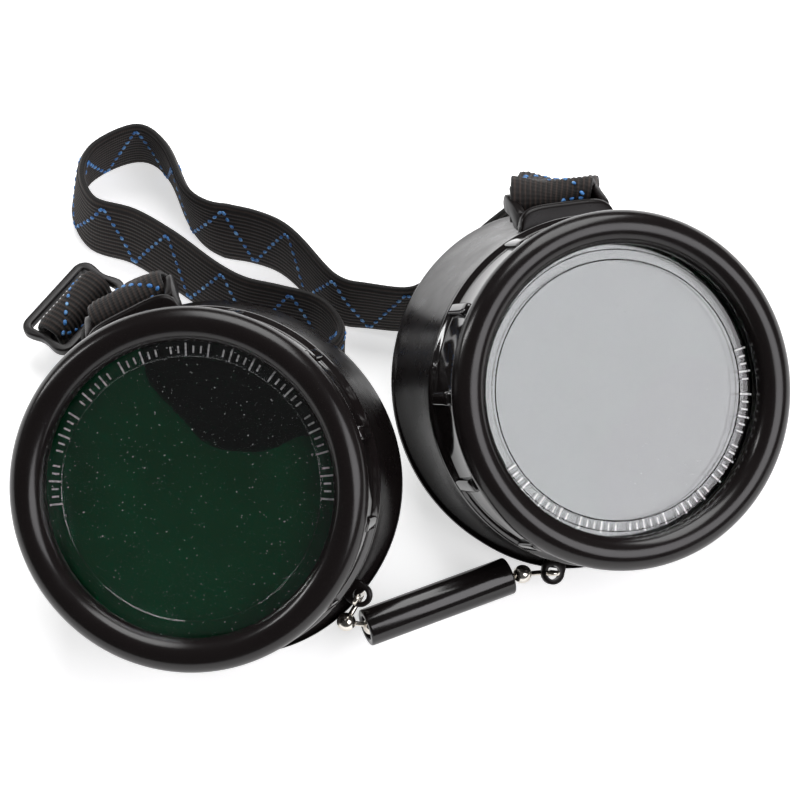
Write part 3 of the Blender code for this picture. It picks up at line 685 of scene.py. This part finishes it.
def lens_marks(side, start, end):
    """A generic scale of plain ticks printed round the cover glass."""
    cup = CUPS[side]
    z, width = COVER_TOP + 0.03 * MM, 0.14 * MM

    def build(bm):
        count = round((end - start) / MARK_EVERY)
        for k in range(count):
            if k % 7 == 5:
                continue
            phi = start + (end - start) * k / count
            tall = (1.0, 0.55, 0.55)[k % 3] * MM
            centre = direction(cup, phi)
            across = Vector((-centre.y, centre.x, 0.0))
            corners = [centre * (MARK_RADIUS + tall * a) + across * (width * b)
                       + Vector((0, 0, z + c * 0.01 * MM))
                       for c in (0, 1) for a, b in ((-1, -1), (1, -1), (1, 1), (-1, 1))]
            verts = [bm.verts.new(point) for point in corners]
            for face in ((0, 3, 2, 1), (4, 5, 6, 7), (0, 1, 5, 4), (1, 2, 6, 5), (2, 3, 7, 6), (3, 0, 4, 7)):
                bm.faces.new([verts[i] for i in face])

    ink = LEFT_INK if side == "left" else RIGHT_INK
    marks = built(side + "_lens_marks", build, ink, smooth=False)
    place(marks, LENS[side])
    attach(marks, side + "_lens_pack")


def hoop(bm, radius, thickness):
    section = [(radius + x, COVER_TOP + y) for x, y in circle(thickness, 8)]
    loft(bm, turned_rows(section, 160), closed=True)


def lens_line(side):
    """The fine moulded circle round the cover glass, and on the right a second one at its edge."""
    def build(bm):
        hoop(bm, HOOP_RADIUS, 0.10 * MM)
        if side == "right":
            hoop(bm, EDGE_HOOP_RADIUS, 0.07 * MM)

    line = built(side + "_lens_line", build, COVER_GLASS if side == "left" else RING_PLASTIC)
    place(line, LENS[side])
    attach(line, side + "_lens_pack")


def set_look(node, look):
    mesh = frame["nodes"][node].data
    mesh.materials.clear()
    mesh.materials.append(look)


def dress_nodes():
    """Materials of the solid model's own pieces that stay visible."""
    looks = {"_cover_lens": COVER_GLASS, "_spacer_ring": FIBRE, "_seat_gasket": FIBRE}
    for side in CUPS:
        for ending, look in looks.items():
            set_look(side + ending, look)
    set_look("left_filter_lens", LEFT_FILTER)
    set_look("right_filter_lens", RIGHT_FILTER)


# ---- Nose bridge ----

def nose_sleeve():
    start, end = SLEEVE_ENDS
    half = (end - start).length / 2
    edge = 0.35 * MM
    profile = arc(SLEEVE_RADIUS - edge, half - edge, edge, 0, 90, 5)
    profile += arc(SLEEVE_RADIUS - edge, -half + edge, edge, 90, 180, 5)
    profile += arc(SLEEVE_BORE + edge, -half + edge, edge, 180, 270, 4)
    profile += arc(SLEEVE_BORE + edge, half - edge, edge, 270, 360, 4)[:-1]

    def build(bm):
        loft(bm, turned_rows(profile, 72), closed=True)

    sleeve = built("vinyl_sleeve", build, VINYL)
    turn = (end - start).to_track_quat("Z", "Y").to_matrix().to_4x4()
    place(sleeve, Matrix.Translation((start + end) / 2) @ turn)
    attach(sleeve, "bridge")
    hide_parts("nose_sleeve")


def ball_chain():
    start, end = SLEEVE_ENDS
    step = (end - start).normalized()
    first, last = start + step * (1.2 * MM), end - step * (1.2 * MM)
    inside = 7
    centres = [first.lerp(last, i / (inside - 1)) for i in range(inside)]
    centres = [LEFT_BEAD] + centres + [RIGHT_BEAD]

    def build(bm):
        for centre in centres:
            blob(bm, Matrix.Translation(centre) @ Matrix.Scale(BEAD_RADIUS, 4), 28, 15)
        sweep(bm, centres, circle(0.4 * MM, 12))

    chain = built("ball_chain", build, NICKEL)
    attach(chain, "bridge")
    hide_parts("bead_chain")


def wire_link(side, bead):
    """The bent wire through the nose lug, with a small curl in front of it."""
    cup = CUPS[side]
    hole = LENS[side] @ (direction(cup, cup["ear"]) * EAR_R + Vector((0, 0, EAR_Z)))
    axis = (LENS[side].to_3x3() @ Vector((0, 0, 1))).normalized()
    behind = hole - axis * (1.9 * MM)
    end = bead + (behind - bead).normalized() * (BEAD_RADIUS * 0.9)
    toward = end - hole
    toward = (toward - axis * toward.dot(axis)).normalized()
    curl = [hole + axis * (1.5 * MM) + toward * (1.3 * MM), hole + axis * (2.3 * MM) + toward * (0.9 * MM),
            hole + axis * (2.2 * MM), hole + axis * (1.1 * MM)]
    path = smooth_points(curl + [hole, behind, behind.lerp(end, 0.5) - axis * (0.2 * MM), end], 5)

    def build(bm):
        sweep(bm, path, circle(0.42 * MM, 12))

    link = built(side + "_link", build, NICKEL)
    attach(link, "bridge")
    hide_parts(side + "_chain_link")


# ---- Strap ----

def strap_section():
    """Ribbed outline across the strap, as (across, thickness) points."""
    samples = RIBS * 6
    top, bottom = [], []
    for k in range(samples + 1):
        x = k / samples
        rib = 0.5 + 0.5 * math.cos(2 * math.pi * RIBS * x)
        edge = min(1.0, 6.0 * min(x, 1.0 - x) + 0.45)
        half = STRAP_THICK / 2 * edge * (0.80 + 0.20 * (1.0 - rib))
        top.append(((x - 0.5) * STRAP_WIDTH, half))
        bottom.append(((x - 0.5) * STRAP_WIDTH, -half))
    return top + list(reversed(bottom))


def strap_mesh(bm, path, widths, offset):
    """Ribbed strap along a path, with texture coordinates in metres along and across."""
    section = strap_section()
    along = tangents(path)
    uv = bm.loops.layers.uv.verify()
    rows, travelled, previous = [], offset, None
    for centre, forward, width in zip(path, along, widths):
        side = (width - forward * width.dot(forward)).normalized()
        up = forward.cross(side)
        if previous is not None:
            travelled += (centre - previous).length
        previous = centre
        row = [bm.verts.new(centre + side * x + up * y) for x, y in section]
        rows.append((row, travelled))
    count = len(section)
    for (first, s0), (second, s1) in zip(rows, rows[1:]):
        for k in range(count):
            after = (k + 1) % count
            face = bm.faces.new((first[k], first[after], second[after], second[k]))
            for loop, (s, j) in zip(face.loops, ((s0, k), (s0, after), (s1, after), (s1, k))):
                # The half rib pitch shift puts the elastic's painted highlight stripes on the rib crests.
                loop[uv].uv = (s, section[j][0] + RIB_PITCH / 2)
    bm.faces.new(list(reversed(rows[0][0])))
    bm.faces.new(rows[-1][0])


def stitches(bm, path, widths, length, offset):
    """Dotted zig-zag stitching on both faces of the strap."""
    along = tangents(path)
    rng = random.Random(7)
    pitch = ZIGZAG / 2 / STITCHES_A_LEG
    count = int(length / pitch)
    step = length / (len(path) - 1)
    for i in range(count):
        s = (i + 0.5) * pitch
        k = min(int(s / step), len(path) - 2)
        t = s / step - k
        centre = path[k].lerp(path[k + 1], t)
        forward = along[k].lerp(along[k + 1], t).normalized()
        width = widths[k].lerp(widths[k + 1], t)
        side = (width - forward * width.dot(forward)).normalized()
        up = forward.cross(side)
        cycle = ((s + offset) / ZIGZAG) % 1.0
        swing = 1.0 - 4.0 * cycle if cycle < 0.5 else 4.0 * cycle - 3.0
        lean = 1 if cycle < 0.5 else -1
        for face in (1, -1):
            middle = centre + side * (swing * 0.44 * STRAP_WIDTH) + up * (face * STRAP_THICK * 0.43)
            slant = (side * -lean * 0.8 + forward * 0.6).normalized()
            basis = Matrix((slant, up.cross(slant), up)).transposed().to_4x4()
            grow = 0.9 + 0.2 * rng.random()
            size = Matrix.Diagonal((0.50 * MM * grow, 0.34 * MM * grow, 0.27 * MM, 1.0))
            blob(bm, Matrix.Translation(middle) @ basis @ size)


def strap_piece(name, path, widths, offset, after):
    """A ribbed strap and its stitching as two pieces; after(piece) says what they ride on."""
    path, widths, length = even_spacing(path, widths, 0.9 * MM)
    cloth = built(name, lambda bm: strap_mesh(bm, path, widths, offset), ELASTIC)
    thread = built(name + "_stitching", lambda bm: stitches(bm, path, widths, length, offset), THREAD)
    for piece in (cloth, thread):
        after(piece)
    return cloth, length


def lean_at(i):
    """The strap's lean at a point of its route, in degrees, between the values in LEAN."""
    keys = sorted(LEAN)
    for a, b in zip(keys, keys[1:]):
        if a <= i <= b:
            return LEAN[a] + (LEAN[b] - LEAN[a]) * (i - a) / (b - a)
    return 0.0


def head_strap():
    """The run on the table, standing on edge."""
    steps = 6
    plan = smooth_points([Vector((x, y, 0.0)) * MM for x, y in STRAP_ROUTE], steps)
    along = tangents(plan)
    path, widths = [], []
    for i, (point, forward) in enumerate(zip(plan, along)):
        lean = math.radians(lean_at(i / steps))
        left = Vector((-forward.y, forward.x, 0.0))
        width = Vector((0, 0, math.cos(lean))) + left * math.sin(lean)
        path.append(point + Vector((0, 0, STRAP_WIDTH / 2 * math.cos(lean) + FLOOR_GAP)))
        widths.append(width)

    def after(piece):
        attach(piece, "bridge")

    cloth, length = strap_piece("head_strap_cloth", path, widths, 0.0, after)
    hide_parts("head_strap")


def doubled(path, widths):
    """A strap folded round a lug's bar at path[0]: out by one face of the path and back by the other."""
    offset, arc_points = (STRAP_THICK + GAP) / 2, 13
    around = LUG_BAR_RADIUS + GAP + STRAP_THICK / 2
    along = tangents(path)
    faces = [forward.cross((w - forward * w.dot(forward)).normalized()) for forward, w in zip(along, widths)]
    upper = [p + f * offset for p, f in zip(path, faces)][1:]
    lower = [p - f * offset for p, f in zip(path, faces)][1:]
    arc_path = []
    for k in range(arc_points):
        angle = math.pi * k / (arc_points - 1)
        ahead, sideways = around * math.sin(angle), around * math.cos(angle)
        arc_path.append(path[0] + faces[0] * sideways - along[0] * ahead)
    centres = list(reversed(upper)) + arc_path + lower
    across = list(reversed(widths[1:])) + [widths[0]] * arc_points + list(widths[1:])
    return centres, across


def lug_bar(side):
    """Centre of a lug's strap bar, and the directions along it, away from the cup and down."""
    cup = CUPS[side]
    outward = direction(cup, cup["lug"])
    centre = LENS[side] @ (outward * LUG_BAR_R + Vector((0, 0, LUG_BAR_Z)))
    turn = LENS[side].to_3x3()
    across = (turn @ Vector((-outward.y, outward.x, 0))).normalized()
    down = (Vector((0, 0, -1)) + across * across.z).normalized()
    away = across.cross(down)
    if away.dot(turn @ outward) < 0:
        away = -away
    return centre, across, away, down


def right_strap():
    """From the end of the table run, turning up outside the face rim to the right lug and back."""
    bar, across, _, _ = lug_bar("right")
    if across.x < 0:
        across = -across
    heading = Vector((0.25, 0.968, 0.0))
    knees = ((2.6, 1.7), (5.3, 5.8), (8.6, 11.2))
    falling = [bar + (heading * out - Vector((0, 0, fall))) * MM for out, fall in knees]
    path = [bar] + smooth_points(falling, 5)
    skew = Vector((0.93, -0.12, -0.34)).normalized()
    hang = Vector((0.96, 0.28, -0.05)).normalized()
    middle, last = (len(path) - 1) // 2, len(path) - 1
    widths = [across.lerp(skew, i / middle).normalized() for i in range(middle + 1)]
    widths += [skew.lerp(hang, i / (last - middle)).normalized() for i in range(1, last - middle + 1)]
    centres, widths = doubled(path, widths)

    start = Vector((*STRAP_ROUTE[0], EDGE_CENTRE)) * MM
    run = (Vector(STRAP_ROUTE[0]) - Vector(STRAP_ROUTE[1])).normalized()
    turn_radius, turn_steps = 7.0 * MM, 14
    stride = turn_radius * math.pi / 2 / turn_steps
    rise, sides, here = [], [], start.copy()
    for i in range(turn_steps + 1):
        share = i / turn_steps
        angle = math.pi / 2 * share
        ahead = Vector((run.x, run.y, 0.0)).lerp(Vector((0.99, 0.10, 0.0)), share).normalized()
        rise.append(here.copy())
        sides.append(Vector((0, 0, math.cos(angle))) - ahead * math.sin(angle))
        here += (ahead * math.cos(angle) + Vector((0, 0, math.sin(angle)))) * stride
    foot = centres[0]
    halfway = rise[-1].lerp(foot, 0.5) + Vector((0, 0.3 * MM, 0.2 * MM))
    link = smooth_points([rise[-1], halfway, foot], 3)[1:-1]
    if widths[0].dot(sides[-1]) < 0:
        widths = [-w for w in widths]
    sides += [sides[-1].lerp(widths[0], (i + 1) / (len(link) + 1)).normalized() for i in range(len(link))]

    def after(piece):
        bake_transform(piece)

    cloth, length = strap_piece("right_strap_end", rise + link + centres, sides + widths, 3.0 * MM, after)
    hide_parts("right_strap_loop")


def slider_matrix():
    """The slider's frame: X across its bars, Y along them."""
    long_axis = SLIDER_LONG.normalized()
    flat = long_axis.cross(Vector((0, 0, 1)))
    short_axis = flat * math.cos(SLIDER_TILT) + Vector((0, 0, math.sin(SLIDER_TILT)))
    up = short_axis.cross(long_axis)
    if up.z < 0:
        up = -up
    turn = Matrix((short_axis, long_axis, up)).transposed()
    return Matrix.Translation(SLIDER_AT) @ turn.to_4x4()


SLIDER = slider_matrix()


def left_strap():
    """Both layers from the slider up to the left lug, outside the face rim."""
    bar, across, away, down = lug_bar("left")
    slider_across = SLIDER.to_3x3() @ Vector((0, 1, 0))
    if across.dot(slider_across) < 0:
        across = -across
    bend = 2.5 * MM
    turn = [SLIDER @ Vector((5.8 * MM + bend * math.sin(a), 0.0, -0.35 * MM - bend * math.cos(a)))
            for a in (math.radians(d) for d in (90, 60, 30, 0))]
    knees = [bar + (away * 2.6 + down * 5.0) * MM, Vector((-44.6, 13.4, 17.0)) * MM,
             Vector((-46.5, 15.0, 12.0)) * MM]
    path = [bar] + smooth_points(knees, 4) + turn
    last = len(path) - 1
    widths = [across.lerp(slider_across, min(1.0, max(0.0, (i - 1) / (last - 5)))).normalized()
              for i in range(last + 1)]
    centres, sides = doubled(path, widths)

    def after(piece):
        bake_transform(piece)

    cloth, length = strap_piece("left_strap_layers", centres, sides, 4.0 * MM, after)
    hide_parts("left_strap_loop")


def slider_wrap():
    """The strap over the slider's middle bar and out under its near bar."""
    profile = [(5.4, -1.95), (4.2, -1.95), (3.3, -1.85), (2.45, -1.3), (2.2, -0.3), (2.1, 0.7),
               (1.6, 1.6), (0.7, 2.0), (-0.7, 2.0), (-1.6, 1.5), (-2.1, 0.5), (-2.1, -0.6),
               (-1.6, -1.7), (-0.6, -2.4), (0.8, -3.0), (2.6, -3.65), (4.6, -3.75), (5.4, -3.75)]
    path = smooth_points([SLIDER @ (Vector((u, 0.0, h)) * MM) for u, h in profile], 3)
    across = SLIDER.to_3x3() @ Vector((0, 1, 0))

    def after(piece):
        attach(piece, "slider")

    cloth, length = strap_piece("slider_wrap", path, [across] * len(path), 0.5 * MM, after)
    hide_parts("slider_strap_loop")


def left_tail():
    """From the table run under the left cup's rim, turning flat and running under the slider."""
    start = Vector((*STRAP_ROUTE[-1], EDGE_CENTRE)) * MM
    run = (Vector(STRAP_ROUTE[-1]) - Vector(STRAP_ROUTE[-2])).normalized()
    ahead = Vector((run.x, run.y, 0.0))
    across = SLIDER.to_3x3() @ Vector((0, 1, 0))
    across = Vector((across.x, across.y, 0.0)).normalized()
    under = SLIDER @ (Vector((4.5, 0.0, 0.0)) * MM)
    end = Vector((under.x, under.y, 0.95 * MM))
    inward = Vector((across.y, -across.x, 0.0))
    path = smooth_points([start, start + ahead * (3.5 * MM) - Vector((0, 0, 1.0 * MM)),
                          end + inward * (8.0 * MM) + Vector((0, 0, 2.2 * MM)),
                          end + inward * (3.0 * MM) + Vector((0, 0, 0.3 * MM)), end], 6)
    twist = []
    for i in range(len(path)):
        t = min(1.0, i / (len(path) - 8))
        t = t * t * (3 - 2 * t)
        twist.append((Vector((0, 0, 1)) * (1 - t) + across * t).normalized())
        upright = twist[-1].z
        lying = math.sqrt(max(0.0, 1 - upright ** 2))
        path[i].z = (STRAP_WIDTH * upright + STRAP_THICK * lying) / 2 + FLOOR_GAP + 0.25 * MM * lying

    def after(piece):
        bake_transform(piece)

    cloth, length = strap_piece("left_strap_tail", path, twist, 2.0 * MM, after)


def strap_slider():
    """Three-bar slider with rounded edges and waisted short sides."""
    half_short, half_long, bar, corner = 5.2, 8.4, 1.5, 2.2
    half_thick, edge, waist = 0.8, 0.38, 0.5
    curve = bpy.data.curves.new("slider_outline", "CURVE")
    curve.dimensions = "2D"
    curve.fill_mode = "BOTH"
    curve.extrude = (half_thick - edge) * MM
    curve.bevel_depth = edge * MM
    curve.bevel_resolution = 4
    curve.offset = -edge * MM

    def outline(points):
        spline = curve.splines.new("POLY")
        spline.points.add(len(points) - 1)
        spline.use_cyclic_u = True
        for point, (x, y) in zip(spline.points, points):
            point.co = (x * MM, y * MM, 0.0, 1.0)

    outer = []
    for quarter, (sx, sy) in enumerate(((1, 1), (-1, 1), (-1, -1), (1, -1))):
        for k in range(9):
            a = math.pi / 2 * (quarter + k / 8)
            outer.append((sx * (half_short - corner) + corner * math.cos(a),
                          sy * (half_long - corner) + corner * math.sin(a)))
        if quarter in (0, 2):
            for k in range(1, 8):
                x = sx * (half_short - corner) * (1 - k / 4)
                outer.append((x, sy * (half_long - waist * math.sin(math.pi * k / 8) ** 2)))
    outline(outer)
    for sign in (1, -1):
        low, high, top, r = bar / 2, half_short - bar, half_long - bar, 0.7
        hole = []
        corners = ((high - r, top - r, 0), (low + r, top - r, 1),
                   (low + r, r - top, 2), (high - r, r - top, 3))
        for x, y, quarter in corners:
            for k in range(5):
                a = math.pi / 2 * (quarter + k / 4)
                hole.append((sign * (x + r * math.cos(a)), y + r * math.sin(a)))
        outline(hole if sign > 0 else list(reversed(hole)))
    guide = bpy.data.objects.new("slider_guide", curve)
    bpy.context.scene.collection.objects.link(guide)
    bpy.context.view_layer.update()
    solid = guide.evaluated_get(bpy.context.evaluated_depsgraph_get())
    mesh = bpy.data.meshes.new_from_object(solid)
    bpy.data.objects.remove(guide, do_unlink=True)
    bm = bmesh.new()
    bm.from_mesh(mesh)
    bmesh.ops.remove_doubles(bm, verts=bm.verts, dist=0.005 * MM)
    bm.to_mesh(mesh)
    bm.free()
    slider = new_object("three_bar_slider", mesh, SLIDER_PLASTIC)
    mesh.set_sharp_from_angle(angle=math.radians(40.0))
    place(slider, SLIDER)
    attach(slider, "slider")
    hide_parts("strap_slider")


# ---- Studio ----

def area_light(name, where, target, size, power, colour=(1.0, 1.0, 1.0)):
    light = bpy.data.lights.new(name, "AREA")
    light.shape = "RECTANGLE"
    light.size, light.size_y = size
    light.energy = power
    light.color = colour
    obj = bpy.data.objects.new(name, light)
    bpy.context.scene.collection.objects.link(obj)
    obj.location = where
    obj.rotation_euler = (target - where).to_track_quat("-Z", "Y").to_euler()


def studio():
    """Pale floor, dim white surroundings and three soft lights, the first mirrored in the right lens."""
    floor = built("floor", lambda bm: bmesh.ops.create_grid(bm, x_segments=1, y_segments=1, size=FLOOR_HALF),
                  floor_material(), smooth=False)
    bpy.context.scene.view_settings.view_transform = "Standard"
    world = bpy.data.worlds.new("studio")
    bpy.context.scene.world = world
    world.use_nodes = True
    background = world.node_tree.nodes["Background"]
    background.inputs["Color"].default_value = (1.0, 1.0, 1.0, 1.0)
    background.inputs["Strength"].default_value = 0.07
    look = Vector(LOOK_AT)
    mirror = Vector((0.587, -0.404, 0.701))     # from the right lens to the light that it shows the camera
    lens = LENS["right"] @ Vector((0, 0, COVER_TOP))
    area_light("right_softbox", lens + mirror * 0.9, lens, (0.62, 0.62), 5.4, (0.99, 0.97, 1.0))
    area_light("top_softbox", look + Vector((0.1, 0.75, 1.0)), look, (0.9, 0.9), 15.0)
    area_light("left_strip", look + Vector((-0.95, 0.25, 0.55)), look, (0.12, 0.5), 2.6)


def camera():
    data = bpy.data.cameras.new("camera")
    data.sensor_fit = "HORIZONTAL"
    data.angle = 2 * math.atan(VIEW_WIDTH / 2 / CAMERA_DISTANCE)
    data.clip_start = 0.01
    data.clip_end = 20.0
    obj = bpy.data.objects.new("camera", data)
    bpy.context.scene.collection.objects.link(obj)
    offset = Vector((0, -math.cos(CAMERA_HEIGHT_ANGLE), math.sin(CAMERA_HEIGHT_ANGLE))) * CAMERA_DISTANCE
    obj.location = Vector(LOOK_AT) + offset
    obj.rotation_euler = (-offset).to_track_quat("-Z", "Y").to_euler()
    bpy.context.scene.camera = obj


camera()
dress_nodes()
for eye_side in CUPS:
    retaining_ring(eye_side)
    cup_shell(eye_side)
    strap_lug(eye_side)
    nose_ear(eye_side)
for eye_side in CUPS:
    lens_line(eye_side)
lens_marks("left", 38.0, 235.0)
lens_marks("right", 225.0, 392.0)
nose_sleeve()
ball_chain()
wire_link("left", LEFT_BEAD)
wire_link("right", RIGHT_BEAD)
head_strap()
right_strap()
left_strap()
slider_wrap()
left_tail()
strap_slider()
studio()
